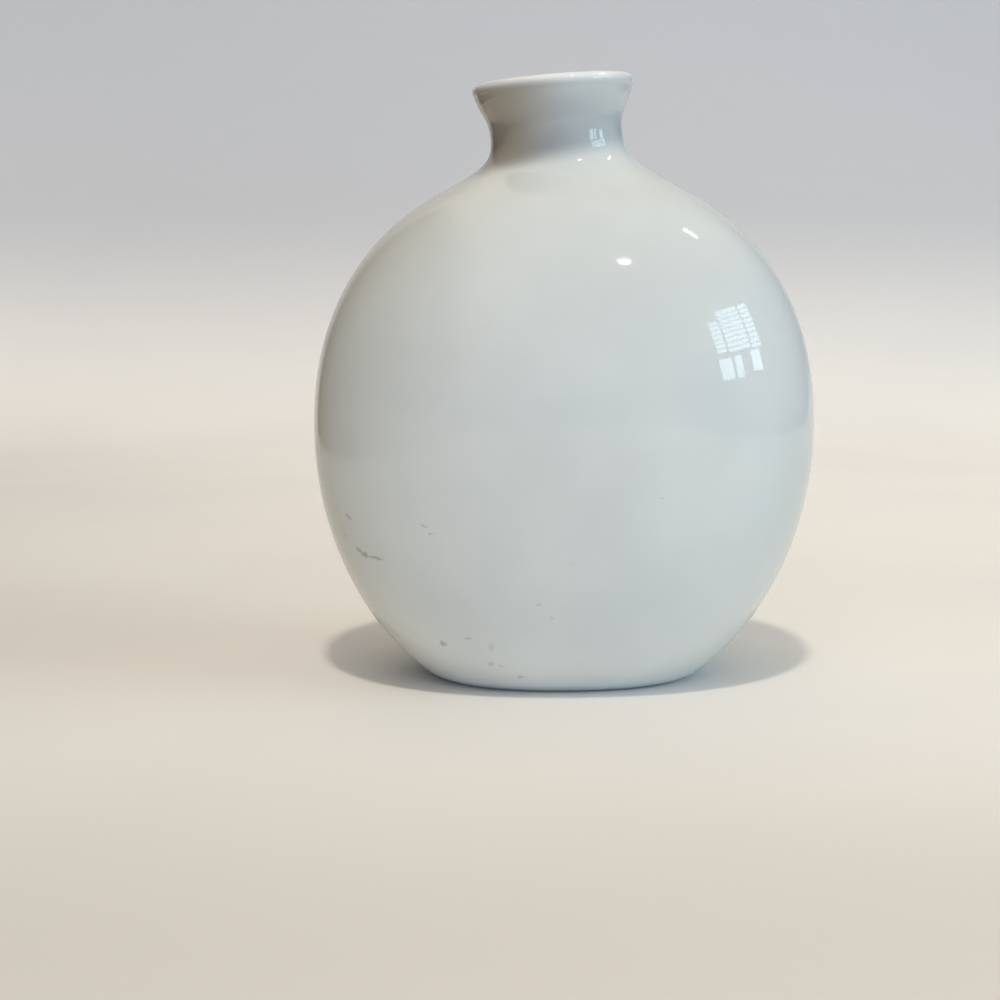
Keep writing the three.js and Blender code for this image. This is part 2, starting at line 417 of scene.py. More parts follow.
def lip_profile():
    """Radius and height up the flare, over the lip and down the bore, in even steps.

    The corner under the lip is rounded by a running mean with bell-shaped weights, as glaze fills it.
    """
    lip_turn = np.linspace(-LIP_UNDERCUT, np.pi, 90)
    arc = LIP_RADIUS * np.stack([np.cos(lip_turn), np.sin(lip_turn)], axis=-1)
    lip = np.array([LIP_REACH - LIP_RADIUS, LIP_RISE]) + arc
    outer = flare(WAIST_RADIUS, lip[0])
    bore = flare(WAIST_RADIUS - WALL, lip[-1])[::-1]
    path = np.concatenate([outer, lip[1:], bore[1:]])
    along = np.concatenate([[0], np.cumsum(np.linalg.norm(np.diff(path, axis=0), axis=1))])
    steps = np.linspace(0, along[-1], int(along[-1] / PROFILE_STEP))
    even = np.stack([np.interp(steps, along, path[:, 0]), np.interp(steps, along, path[:, 1])], axis=-1)
    half = int(3 * GLAZE_FILL / PROFILE_STEP)
    weights = np.exp(-0.5 * (np.arange(-half, half + 1) * PROFILE_STEP / GLAZE_FILL) ** 2)
    weights /= weights.sum()
    lead = even[0] - (even[half:0:-1] - even[0]) * (-1, 1)
    tail = even[-1] - (even[-2:-half - 2:-1] - even[-1]) * (-1, 1)
    padded = np.concatenate([lead, even, tail])
    columns = [np.convolve(padded[:, column], weights, mode="valid") for column in (0, 1)]
    rounded = np.stack(columns, axis=-1)
    rounded[0] = even[0]
    rounded[-1] = even[-1]
    return rounded


profile = lip_profile()
print("Lip: %d steps, %.2f mm across" % (len(profile), 2 * profile[:, 0].max() / MM))

# %% The whole neck
SPREAD_ROWS = 60


def skin_normals(points):
    """Normals of a grid that closes round its columns: across a column crossed with up a row."""
    ring_points = points[:, :-1]
    over = np.roll(ring_points, -1, axis=1) - np.roll(ring_points, 1, axis=1)
    up = np.gradient(ring_points, axis=0)
    normals = unit(np.cross(over, up))
    return np.concatenate([normals, normals[:, :1]], axis=1)


outer_spread = spread(outside, WAIST_RADIUS, SPREAD_ROWS)
inner_spread = spread(inside, WAIST_RADIUS - WALL, SPREAD_ROWS)[::-1]
flared = neck_points(profile[1:-1, :1], turn, profile[1:-1, 1:])
neck_skin = np.concatenate([outer_spread, flared, inner_spread])
neck = weld("neck_glazed", [
    (neck_skin, skin_normals(neck_skin)),
    flat(neck_skin[0], neck_skin[-1], (0, 0, -1)),
])
print("Neck top %.3f mm, CAD top %.3f mm" % (neck_skin[..., 2].max() / MM, cad_high.z / MM))

# %% [markdown]
# ## Foot
# The foot is the shallow oval dish that closes the body. Its outer edge is rounded, it stands on a
# flat ring wiped clean of glaze, and the middle of the underside is recessed so that it can't rock.
# It is one strip of rings: from the middle of the recess, over the standing ring, up the outside,
# across the joint face and down to the middle of the floor.

# %% Rings of the foot
RECESS_DEPTH = 1.2 * MM
RING_WIDTH = 4 * MM
EDGE_RADIUS = 2.2 * MM
FLOOR_FILLET = 1.6 * MM
FLOOR_TOP = RECESS_DEPTH + WALL
EDGE_ROWS = 16
WALL_ROWS = 10
FLAT_ROWS = 12


def foot_rings(size, heights, inset):
    """Levels of a size at given heights, each drawn in by an inset."""
    width, depth = size(heights)
    inset = np.asarray(inset, float)
    return level((width - inset)[:, None], (depth - inset)[:, None], turn, heights[:, None])


def to_middle(edge):
    """Rings from an edge to the point in its middle, all at the edge's height."""
    share = np.linspace(1, 0, FLAT_ROWS)[:, None, None]
    return edge * share + edge.mean(axis=0) * (0, 0, 1) * (1 - share)


quarter = np.linspace(0, np.pi / 2, EDGE_ROWS)
edge_heights = EDGE_RADIUS * (1 - np.cos(quarter))
wall_heights = np.linspace(EDGE_RADIUS, FOOT_TOP, WALL_ROWS)[1:]
edge_rings = foot_rings(outside, edge_heights, EDGE_RADIUS * (1 - np.sin(quarter)))
wall_rings = foot_rings(outside, wall_heights, np.zeros(len(wall_heights)))
outer_foot = np.concatenate([edge_rings, wall_rings])

slide = np.linspace(0, 1, EDGE_ROWS)
recess_heights = RECESS_DEPTH * slide ** 2 * (3 - 2 * slide)
base_width, base_depth = outside(0)
recess_inset = EDGE_RADIUS + RING_WIDTH + RECESS_DEPTH * slide
recess_slope = level(
    (base_width - recess_inset)[:, None],
    (base_depth - recess_inset)[:, None],
    turn,
    recess_heights[:, None],
)

dish_heights = np.linspace(FOOT_TOP, FLOOR_TOP + FLOOR_FILLET, WALL_ROWS)[:-1]
dish_wall = foot_rings(inside, dish_heights, np.zeros(len(dish_heights)))
fillet_heights = FLOOR_TOP + FLOOR_FILLET * (1 - np.sin(quarter))
fillet = foot_rings(inside, fillet_heights, FLOOR_FILLET * (1 - np.cos(quarter)))
dish = np.concatenate([dish_wall, fillet])

# %% The whole foot
outer_normals = skin_normals(outer_foot)
outer_normals[0] = (0, 0, -1)
outer_normals[-1] = level_normals(outside, outer_foot[-1])
slope_normals = -skin_normals(recess_slope[::-1])[::-1]
dish_normals = skin_normals(dish)
ceiling = to_middle(recess_slope[-1])
floor_inside = to_middle(dish[-1])
foot = weld("foot_glazed", [
    (outer_foot, outer_normals),
    flat(outer_foot[0], recess_slope[0], (0, 0, -1)),
    (recess_slope, slope_normals),
    (ceiling, np.broadcast_to((0.0, 0.0, -1.0), ceiling.shape)),
    flat(outer_foot[-1], dish[0], (0, 0, 1)),
    (dish, dish_normals),
    (floor_inside, np.broadcast_to((0.0, 0.0, 1.0), floor_inside.shape)),
])

# %% Set every member in its place in the frame
members = {
    "front_shell": (front, "white_glaze"),
    "rear_shell": (rear, "white_glaze"),
    "neck": (neck, "white_glaze"),
    "foot": (foot, "foot_clay"),
    "left_seam": (left_strip, "slip"),
    "right_seam": (right_strip, "slip"),
    "neck_seam": (neck_ring, "slip"),
    "foot_seam": (foot_ring, "slip"),
}
for node, (piece, slot) in members.items():
    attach(piece, "root")
    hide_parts(node)
print("%d members ride on the root body" % len(members))

# %% [markdown]
# ## Glaze
# Fired glaze is a coat of glass, thinly laid over white clay. It is never quite even: it runs thinner and a
# little duller over the lip, and sets with a faint orange peel that bends reflections.
# The coat also carries painted light and shade: the hollow of the neck is painted dark as painted shade,
# more on its left, the left of the neck and lip is painted a warm brown shade, and the lip is painted
# lighter.
# An image could carry that, but a procedural group reads the piece's own coordinates in metres, so
# one coat runs over all eight members without a break.

# %% Node helpers
def place(tree, kind, *values, **settings):
    """A node in a tree. Values are (input, value or socket) pairs and settings are its own options."""
    made = tree.nodes.new(kind)
    for name, setting in settings.items():
        setattr(made, name, setting)
    for name, value in values:
        if isinstance(value, bpy.types.NodeSocket):
            tree.links.new(value, made.inputs[name])
        else:
            made.inputs[name].default_value = value
    return made


def sum_of(tree, operation, first, second, third=0.0):
    """The result of one Math node."""
    values = ((0, first), (1, second), (2, third))
    return place(tree, "ShaderNodeMath", *values, operation=operation).outputs[0]


def grade(tree, value, low, high, to_low=0.0, to_high=1.0):
    """A value eased from one range to another, held at both ends."""
    reach = (("From Min", low), ("From Max", high), ("To Min", to_low), ("To Max", to_high))
    eased = place(tree, "ShaderNodeMapRange", ("Value", value), *reach, interpolation_type="SMOOTHSTEP")
    return eased.outputs["Result"]


def tint(tree, share, first, second):
    """One colour turned to another by a share."""
    values = (("Factor", share), ("A", first), ("B", second))
    return place(tree, "ShaderNodeMix", *values, data_type="RGBA").outputs["Result"]


def cloud(tree, position, size, detail=2.0):
    """Soft noise whose patches are about a size across, in metres, as values from 0 to 1."""
    values = (("Vector", position), ("Scale", 1 / size), ("Detail", detail))
    return place(tree, "ShaderNodeTexNoise", *values).outputs["Fac"]


def new_group(name, inputs, outputs):
    """An empty shader node group with named sockets, and its input and output nodes."""
    tree = bpy.data.node_groups.new(name, "ShaderNodeTree")
    for socket, kind in inputs:
        tree.interface.new_socket(name=socket, in_out="INPUT", socket_type=kind)
    for socket, kind in outputs:
        tree.interface.new_socket(name=socket, in_out="OUTPUT", socket_type=kind)
    return tree, tree.nodes.new("NodeGroupInput").outputs, tree.nodes.new("NodeGroupOutput").inputs


VECTOR = "NodeSocketVector"
FLOAT = "NodeSocketFloat"
COLOUR = "NodeSocketColor"

# %% The glaze coat
# Where the neck's painted shade lies: it darkens the hollow of the neck, more on its left side
SHADE_LOW = -7.0 * MM
SHADE_DEEP = -2.5 * MM
SHADE_HIGH = 8.5 * MM
SHADE_LEFT = -6 * MM
SHADE_RIGHT = 12 * MM
SHADE_TILT = math.radians(10)
SHADE_TOP_SHARE = 0.35
SHADE_RIGHT_SHARE = 0.5
# Where the lip's thinner glaze and its painted lighter tone lie
LIP_LOW = 8.5 * MM
LIP_HIGH = 11 * MM
# Where the painted warm shade lies, on the left of the neck and lip
WARM_SHADE_LEFT = -14 * MM
WARM_SHADE_RIGHT = 0 * MM
WARM_SHADE_TOP = 8.8 * MM
WARM_SHADE_END = 10.6 * MM
WARM_SHADE_SHARE = 0.85
DRIFT_PATCH = 14 * MM
MOTTLE_PATCH = 26 * MM
MOTTLE_SHARE = 0.12
SHEEN_PATCH = 9 * MM
SMOOTHEST = 0.035
DULLEST = 0.07
LIP_DULLING = 0.09
WAVE_PATCH = 16 * MM
PEEL_PATCH = 1.3 * MM
BUMP_REACH = MM
WAVE_HEIGHT = 0.05
PEEL_HEIGHT = 0.0007
shade_axis = np.array([-math.sin(SHADE_TILT), 0, math.cos(SHADE_TILT)])
neck_axis = np.array([-math.sin(NECK_LEAN), 0, math.cos(NECK_LEAN)])


def height_along(tree, position, axis):
    """How far a position lies above the waist's centre, measured along an axis."""
    values = ((0, position), (1, axis.tolist()))
    along = place(tree, "ShaderNodeVectorMath", *values, operation="DOT_PRODUCT").outputs["Value"]
    return sum_of(tree, "SUBTRACT", along, float(waist_centre @ axis))


def glaze_group():
    """Colour, roughness and height of the glaze from a point's place on the vase.

    The height is a share of the bump's reach: low, wide waves and a fine peel over them.
    """
    inputs = [("Position", VECTOR)]
    inputs += [(coat, COLOUR) for coat in ("Coat", "Shade_and_mottle", "Thin_lit_lip", "Warm_shade")]
    outputs = [("Colour", COLOUR), ("Roughness", FLOAT), ("Height", FLOAT)]
    tree, given, out = new_group("glaze_coat", inputs, outputs)
    position = given["Position"]
    x = place(tree, "ShaderNodeSeparateXYZ", (0, position)).outputs["X"]
    above_waist = height_along(tree, position, neck_axis)
    above_shade = height_along(tree, position, shade_axis)
    # Painted shade in the hollow of the neck, rising from its foot and fading towards the lip
    shade_rising = grade(tree, above_shade, SHADE_LOW, SHADE_DEEP)
    shade_falling = grade(tree, above_shade, SHADE_DEEP, SHADE_HIGH, 1.0, SHADE_TOP_SHARE)
    uneven = grade(tree, cloud(tree, position, DRIFT_PATCH), 0.25, 0.75, 0.8, 1.0)
    # The painted shade is heavier on the left of the neck
    left_shade = grade(tree, x, SHADE_LEFT, SHADE_RIGHT, 1.0, SHADE_RIGHT_SHARE)
    neck_shade = sum_of(tree, "MULTIPLY", sum_of(tree, "MULTIPLY", shade_rising, shade_falling), uneven)
    neck_shade = sum_of(tree, "MULTIPLY", neck_shade, left_shade)
    # The lip's mask: glaze thinner and duller there, and its colour painted lighter than the coat as
    # painted light on the lip
    thin_lit_lip = sum_of(tree, "MULTIPLY", grade(tree, above_waist, LIP_LOW, LIP_HIGH), uneven)
    # A random mottle drifts towards the same darker colour
    mottle = grade(tree, cloud(tree, position, MOTTLE_PATCH, 3.0), 0.3, 0.7, 0.0, MOTTLE_SHARE)
    coat = tint(tree, mottle, given["Coat"], given["Shade_and_mottle"])
    coat = tint(tree, neck_shade, coat, given["Shade_and_mottle"])
    coat = tint(tree, thin_lit_lip, coat, given["Thin_lit_lip"])
    # Painted warm shade on the left of the neck and the lip
    warm_shade = sum_of(tree, "MULTIPLY", shade_rising, grade(tree, x, WARM_SHADE_LEFT, WARM_SHADE_RIGHT, WARM_SHADE_SHARE, 0.0))
    warm_shade = sum_of(tree, "MULTIPLY", warm_shade, grade(tree, above_waist, WARM_SHADE_TOP, WARM_SHADE_END, 1.0, 0.0))
    coat = tint(tree, warm_shade, coat, given["Warm_shade"])
    tree.links.new(coat, out["Colour"])
    gloss = grade(tree, cloud(tree, position, SHEEN_PATCH, 4.0), 0.3, 0.75, SMOOTHEST, DULLEST)
    tree.links.new(sum_of(tree, "MULTIPLY_ADD", thin_lit_lip, LIP_DULLING, gloss), out["Roughness"])
    wave = sum_of(tree, "MULTIPLY", cloud(tree, position, WAVE_PATCH, 1.0), WAVE_HEIGHT)
    peel = cloud(tree, position, PEEL_PATCH, 1.0)
    tree.links.new(sum_of(tree, "MULTIPLY_ADD", peel, PEEL_HEIGHT, wave), out["Height"])
    return tree


glaze_coat = glaze_group()
print("Glaze group:", [socket.name for socket in glaze_coat.interface.items_tree])

# %% [markdown]
# ## Handling marks
# The low left of the front carries grey marks, as metal leaves on glaze: one smear about 5 mm long
# and a scatter of specks near the foot. They are not part of the pattern of the glaze, so each one is
# placed by its own distance across and up the front. A mark is a small ellipse broken up by noise,
# and its depth on the front comes from the body's curve.

# %% Where the marks lie
MARKS = (
    # across, up, half length, half height (mm), slant (degrees), strength
    (-43.4, 30.1, 1.7, 0.55, -35, 0.45),
    (-42.4, 29.4, 1.0, 0.75, -20, 0.55),
    (-40.2, 29.1, 2.2, 0.45, -6, 0.45),
    (-45.7, 37.2, 1.3, 0.45, -38, 0.35),
    (-46.4, 32.8, 1.2, 0.40, -40, 0.18),
    (-30.4, 36.9, 1.0, 0.40, -15, 0.28),
    (-29.1, 35.4, 0.9, 0.40, 10, 0.25),
    (-26.5, 11.3, 1.0, 0.75, -15, 0.45),
    (-21.6, 13.1, 1.0, 0.40, 0, 0.26),
    (-16.9, 11.1, 0.8, 1.40, 10, 0.18),
    (-16.8, 7.1, 1.0, 0.80, 20, 0.25),
    (-14.7, 6.8, 0.9, 0.45, -20, 0.22),
    (-10.7, 4.2, 1.0, 0.50, 0, 0.32),
    (-7.7, 21.1, 0.9, 0.40, -10, 0.22),
    (-5.0, 18.2, 0.9, 0.40, -15, 0.17),
    (16.2, 42.8, 0.7, 0.30, 0, 0.15),
    (-1.3, 29.7, 0.7, 0.30, 0, 0.12),
)
MARK_DEPTH = 5 * MM
MARK_CORE = 1.0
MARK_RIM = 1.7
GRAIN_PATCH = 0.8 * MM
GRAIN_BREAK = 1.4


def front_depth(x, z):
    """How far forward the body's front lies at a distance across and a height."""
    width, depth = outside(z)
    return -depth * (1 - np.abs(x / width) ** SECTION_FULLNESS) ** (1 / SECTION_FULLNESS)


def mark_group():
    """The mask of one mark: an ellipsoid round its centre, with its edge broken by noise."""
    inputs = [(socket, VECTOR) for socket in ("Position", "Centre", "Slant", "Size")]
    tree, given, out = new_group("metal_mark", inputs + [("Strength", FLOAT)], [("Mask", FLOAT)])
    local = place(
        tree, "ShaderNodeMapping", ("Vector", given["Position"]), ("Location", given["Centre"]),
        ("Rotation", given["Slant"]), ("Scale", given["Size"]), vector_type="TEXTURE",
    ).outputs["Vector"]
    distance = place(tree, "ShaderNodeVectorMath", (0, local), operation="LENGTH").outputs["Value"]
    grain = cloud(tree, given["Position"], GRAIN_PATCH, 3.0)
    ragged = sum_of(tree, "MULTIPLY_ADD", grain, GRAIN_BREAK, distance)
    mask = grade(tree, ragged, MARK_CORE, MARK_RIM, 1.0, 0.0)
    tree.links.new(sum_of(tree, "MULTIPLY", mask, given["Strength"]), out["Mask"])
    return tree


def all_marks_group(one_mark):
    """The mask of every handling mark at once: the strongest of them at each point."""
    tree, given, out = new_group("handling_marks", [("Position", VECTOR)], [("Mask", FLOAT)])
    total = 0.0
    for across, up, half_length, half_height, slant, strength in MARKS:
        x = across * MM
        z = up * MM
        values = (
            ("Position", given["Position"]),
            ("Centre", (x, float(front_depth(x, z)), z)),
            ("Slant", (0, math.radians(-slant), 0)),
            ("Size", (half_length * MM, MARK_DEPTH, half_height * MM)),
            ("Strength", strength),
        )
        mark = place(tree, "ShaderNodeGroup", *values, node_tree=one_mark)
        total = sum_of(tree, "MAXIMUM", mark.outputs["Mask"], total)
    tree.links.new(total, out["Mask"])
    return tree


handling_marks = all_marks_group(mark_group())
print("%d handling marks" % len(MARKS))

# %% [markdown]
# ## Finishes
# Three finishes share the coat: glaze over the shells and neck, glaze over the slip seams, and the
# foot, whose standing ring is bare clay with an uneven glaze line above it. The number that is the
# same all over, such as the glass's refraction, sits on the shader's own socket.

# %% Glazed finishes
WHITE_COAT = (0.75, 0.76, 0.705, 1)
# Painted shade colour of the neck, which the random mottle also drifts to
SHADE_AND_MOTTLE_COAT = (0.31, 0.34, 0.35, 1)
# Glaze thinned over the lip, painted lighter than the coat as painted light on the lip top
THIN_LIT_COAT = (0.94, 0.925, 0.885, 1)
# Painted warm shade colour for the left of the neck and lip
WARM_SHADE_COAT = (0.42, 0.355, 0.265, 1)
METAL_GREY = (0.20, 0.21, 0.20, 1)
BARE_CLAY = (0.62, 0.57, 0.49, 1)
BARE_GRIT = (0.50, 0.45, 0.37, 1)
GLAZE_REFRACTION = 1.52
MARK_DULLING = 0.25
LINE_PATCH = 5 * MM
LINE_WANDER = 0.5 * MM
LINE_LOW = 0.02 * MM
LINE_HIGH = 0.22 * MM
GRIT_PATCH = 0.6 * MM
GRIT_HEIGHT = 0.03
CLAY_DULLING = 0.6


def glazed(name, bare_ring):
    """A glazed material with the handling marks over its coat, and the bare standing ring where asked."""
    material = bpy.data.materials.new(name)
    material.use_nodes = True
    tree = material.node_tree
    shader = tree.nodes["Principled BSDF"]
    position = place(tree, "ShaderNodeTexCoord").outputs["Object"]
    coats = (("Coat", WHITE_COAT), ("Shade_and_mottle", SHADE_AND_MOTTLE_COAT), ("Thin_lit_lip", THIN_LIT_COAT), ("Warm_shade", WARM_SHADE_COAT))
    coat = place(tree, "ShaderNodeGroup", ("Position", position), *coats, node_tree=glaze_coat).outputs
    marks = place(tree, "ShaderNodeGroup", ("Position", position), node_tree=handling_marks).outputs
    colour = tint(tree, marks["Mask"], coat["Colour"], METAL_GREY)
    roughness = sum_of(tree, "MULTIPLY_ADD", marks["Mask"], MARK_DULLING, coat["Roughness"])
    height = coat["Height"]
    if bare_ring:
        z = place(tree, "ShaderNodeSeparateXYZ", (0, position)).outputs["Z"]
        wander = sum_of(tree, "MULTIPLY_ADD", cloud(tree, position, LINE_PATCH, 3.0), -LINE_WANDER, z)
        bare = grade(tree, wander, LINE_LOW, LINE_HIGH, 1.0, 0.0)
        grit = grade(tree, cloud(tree, position, GRIT_PATCH, 4.0), 0.45, 0.7)
        clay = tint(tree, grit, BARE_CLAY, BARE_GRIT)
        colour = tint(tree, bare, colour, clay)
        roughness = sum_of(tree, "MULTIPLY_ADD", bare, CLAY_DULLING, roughness)
        rough_clay = sum_of(tree, "MULTIPLY", sum_of(tree, "MULTIPLY", grit, bare), GRIT_HEIGHT)
        height = sum_of(tree, "ADD", rough_clay, height)
    bump = place(tree, "ShaderNodeBump", ("Height", height), ("Distance", BUMP_REACH), ("Strength", 1.0))
    tree.links.new(colour, shader.inputs["Base Color"])
    tree.links.new(roughness, shader.inputs["Roughness"])
    tree.links.new(bump.outputs["Normal"], shader.inputs["Normal"])
    shader.inputs["IOR"].default_value = GLAZE_REFRACTION
    return material


shell_finish = glazed("white_glaze", False)
slip_finish = glazed("glaze_over_slip", False)
foot_finish = glazed("glazed_foot_with_bare_ring", True)
finish_of = {"white_glaze": shell_finish, "slip": slip_finish, "foot_clay": foot_finish}
for piece, slot in members.values():
    piece.data.materials.append(finish_of[slot])
print("Finishes:", [material.name for material in finish_of.values()])

# %% [markdown]
# ## Camera
# The photograph was taken from close by, at the height of the shoulder, almost square to the broad
# face. The camera stands at that distance and height, five degrees round to the left. It is aimed a
# little to the left of the vase and down, and its lens gives the same perspective.

# %% Stand the camera
EYE_DISTANCE = 405.9 * MM
EYE_HEIGHT = 92.2 * MM
EYE_TURN = math.radians(5.0)
AIM_LEFT = math.radians(1.92)
AIM_DOWN = math.radians(7.669)
FOCAL_LENGTH = 68.4
SENSOR_WIDTH = 36.0

camera_data = bpy.data.cameras.new("camera")
camera_data.lens = FOCAL_LENGTH
camera_data.sensor_width = SENSOR_WIDTH
camera_data.clip_start = 0.01
camera = bpy.data.objects.new("camera", camera_data)
bpy.context.scene.collection.objects.link(camera)
eye = Vector((-EYE_DISTANCE * math.sin(EYE_TURN), -EYE_DISTANCE * math.cos(EYE_TURN), EYE_HEIGHT))
heading = EYE_TURN - AIM_LEFT
aim = Vector((
    math.sin(heading) * math.cos(AIM_DOWN),
    math.cos(heading) * math.cos(AIM_DOWN),
    -math.sin(AIM_DOWN),
))
camera.location = eye
camera.rotation_euler = aim.to_track_quat("-Z", "Y").to_euler()
bpy.context.scene.camera = camera
print("Eye, mm:", [round(part / MM, 1) for part in eye])

# %% [markdown]
# ## Cove
# The vase stands on pale cloth that sweeps up behind it. A floor and a wall would show a hard line,
# so the cove is one sheet: a flat floor, a quarter round and a wall, all from one profile carried
# sideways. The cloth is creamy where it lies flat and a cooler grey where it hangs. Above and beside
# the picture it thins out, so that the glaze reflects no edge of it.

# %% Floor and backdrop in one sheet
COVE_FRONT = -1.6
COVE_BEND = 0.42
COVE_RADIUS = 0.35
COVE_HEIGHT = 1.5
COVE_HALF_WIDTH = 0.6
BEND_ROWS = 40


def cove_sheet():
    """The cove's profile carried sideways: a floor line, a quarter circle and a wall line."""
    bend = np.linspace(0, np.pi / 2, BEND_ROWS)
    floor_y = np.linspace(COVE_FRONT, COVE_BEND, 20)[:-1]
    wall_z = np.linspace(COVE_RADIUS, COVE_HEIGHT, 12)[1:]
    y = np.concatenate([
        floor_y,
        COVE_BEND + COVE_RADIUS * np.sin(bend),
        np.full(len(wall_z), COVE_BEND + COVE_RADIUS),
    ])
    z = np.concatenate([np.zeros(len(floor_y)), COVE_RADIUS * (1 - np.cos(bend)), wall_z])
    x = np.linspace(-COVE_HALF_WIDTH, COVE_HALF_WIDTH, 25)
    points = np.stack(np.broadcast_arrays(x[None, :], y[:, None], z[:, None]), axis=-1)
    along = np.gradient(np.stack([y, z], axis=-1), axis=0)
    normal = unit(np.stack([np.zeros(len(y)), -along[:, 1], along[:, 0]], axis=-1))
    return points, np.broadcast_to(normal[:, None, :], points.shape)


cove = weld("pale_cove", [cove_sheet()])

# %% The cove's cloth
CLOTH_FLOOR = (0.95, 0.92, 0.87, 1)
CLOTH_WALL = (0.61, 0.61, 0.62, 1)
CLOTH_SHADE = (0.91, 0.885, 0.85, 1)
# Painted shade colour of the cloth near its front edge
CLOTH_FRONT_SHADE = (0.79, 0.765, 0.71, 1)
CLOTH_ROUGHNESS = 0.9
CLOTH_SHINE = 0.1
FOLD_PATCH = 0.12
HANG_HEIGHT = 0.12
FRONT_SHADE_SPAN = (-0.17, -0.05)
FLAT_HEIGHT = 0.15
SIDE_SPAN = (0.36, 0.58)
TOP_SPAN = (0.4, 0.95)

cloth = bpy.data.materials.new("pale_cloth")
cloth.use_nodes = True
cloth_tree = cloth.node_tree
cloth_place = place(cloth_tree, "ShaderNodeTexCoord").outputs["Object"]
cloth_parts = place(cloth_tree, "ShaderNodeSeparateXYZ", (0, cloth_place)).outputs
rising_wall = grade(cloth_tree, cloth_parts["Z"], 0.0, HANG_HEIGHT)
# Painted shade: the cloth turns darker towards its front edge
front_shade = grade(cloth_tree, cloth_parts["Y"], *FRONT_SHADE_SPAN, 1.0, 0.0)
folds = grade(cloth_tree, cloud(cloth_tree, cloth_place, FOLD_PATCH), 0.35, 0.75)
cloth_colour = tint(cloth_tree, folds, CLOTH_FLOOR, CLOTH_SHADE)
cloth_colour = tint(cloth_tree, front_shade, cloth_colour, CLOTH_FRONT_SHADE)
cloth_colour = tint(cloth_tree, rising_wall, cloth_colour, CLOTH_WALL)
cloth_shader = cloth_tree.nodes["Principled BSDF"]
cloth_tree.links.new(cloth_colour, cloth_shader.inputs["Base Color"])
cloth_shader.inputs["Roughness"].default_value = CLOTH_ROUGHNESS
cloth_shader.inputs["Specular IOR Level"].default_value = CLOTH_SHINE
sideways = sum_of(cloth_tree, "ABSOLUTE", cloth_parts["X"], 0.0)
side_fade = grade(cloth_tree, sideways, *SIDE_SPAN, 1.0, 0.0)
lying_flat = grade(cloth_tree, cloth_parts["Z"], 0.0, FLAT_HEIGHT, 1.0, 0.0)
side_fade = sum_of(cloth_tree, "MAXIMUM", side_fade, lying_flat)
top_fade = grade(cloth_tree, cloth_parts["Z"], *TOP_SPAN, 1.0, 0.0)
cloth_tree.links.new(sum_of(cloth_tree, "MULTIPLY", side_fade, top_fade), cloth_shader.inputs["Alpha"])
cove.data.materials.append(cloth)

# %% [markdown]
# ## Light
# The light is soft and plain. A small warm lamp above and in front casts the oval shadow that shows on
# both sides of the foot. A wide cool lamp fills the front from low down, two small bulbs make the
# glints on the shoulder and the lip, and a spot behind the vase lights the cove. The glaze of the real
# vase shows only the bulbs and the window, so the other lamps are hidden from reflections. The bulbs
# in turn light nothing else, so that they cast no shadows of their own.

# %% Lamps
LAMP_AIM = Vector((0, 0, 60 * MM))


def towards(azimuth, elevation):
    """The direction from the vase at degrees round from the front towards the right, and up."""
    turn_angle = math.radians(azimuth)
    rise = math.radians(elevation)
    level_reach = math.cos(rise)
    return Vector((math.sin(turn_angle) * level_reach, -math.cos(turn_angle) * level_reach, math.sin(rise)))


def lamp(name, azimuth, elevation, distance, size, watts, colour):
    """A rectangular area lamp, (width, height) in metres, aimed at the middle of the vase."""
    data = bpy.data.lights.new(name, "AREA")
    data.shape = "RECTANGLE"
    data.size, data.size_y = size
    data.energy = watts
    data.color = colour
    made = bpy.data.objects.new(name, data)
    bpy.context.scene.collection.objects.link(made)
    direction = towards(azimuth, elevation)
    made.location = LAMP_AIM + direction * distance
    made.rotation_euler = (-direction).to_track_quat("-Z", "Y").to_euler()
    return made


WARM = (1.0, 0.91, 0.78)
PALE = (0.35, 0.60, 1.0)
WHITE = (1.0, 0.98, 0.95)
front_lamp = lamp("front_lamp", -7, 65, 1.46, (0.09, 0.09), 7.1, WARM)
fill_lamp = lamp("fill_lamp", 9, 8, 2.0, (1.4, 0.5), 10.8, PALE)
bulb_right = lamp("bulb_right", 98.1, 52.9, 1.6, (0.05, 0.12), 4.5, WHITE)
bulb_front = lamp("bulb_front", 28.2, 52.6, 1.6, (0.075, 0.035), 2.8, WHITE)
front_lamp.visible_glossy = False
fill_lamp.visible_glossy = False
bulb_right.visible_diffuse = False
bulb_front.visible_diffuse = False

# %% The spot on the cove
SPOT_WATTS = 7.0
SPOT_SPREAD = math.radians(62)
SPOT_BLEND = 0.8
SPOT_RADIUS = 0.1
SPOT_PLACE = Vector((0, 0.2, 1.2))
SPOT_AIM = Vector((0, 0.66, 0))

back_light = bpy.data.objects.new("back_light", bpy.data.lights.new("back_light", "SPOT"))
bpy.context.scene.collection.objects.link(back_light)
back_light.data.energy = SPOT_WATTS
back_light.data.color = WHITE
back_light.data.spot_size = SPOT_SPREAD
back_light.data.spot_blend = SPOT_BLEND
back_light.data.shadow_soft_size = SPOT_RADIUS
back_light.visible_glossy = False
back_light.location = SPOT_PLACE
back_light.rotation_euler = (SPOT_AIM - SPOT_PLACE).to_track_quat("-Z", "Y").to_euler()

# %% [markdown]
# ## Window
# The bright patch on the right of the belly is a window with a slatted blind. One area lamp would show
# as a plain bright block, so the window is drawn: three panes with slats above a cross bar and three
# open panes below it, each strip a small sheet that gives off light.

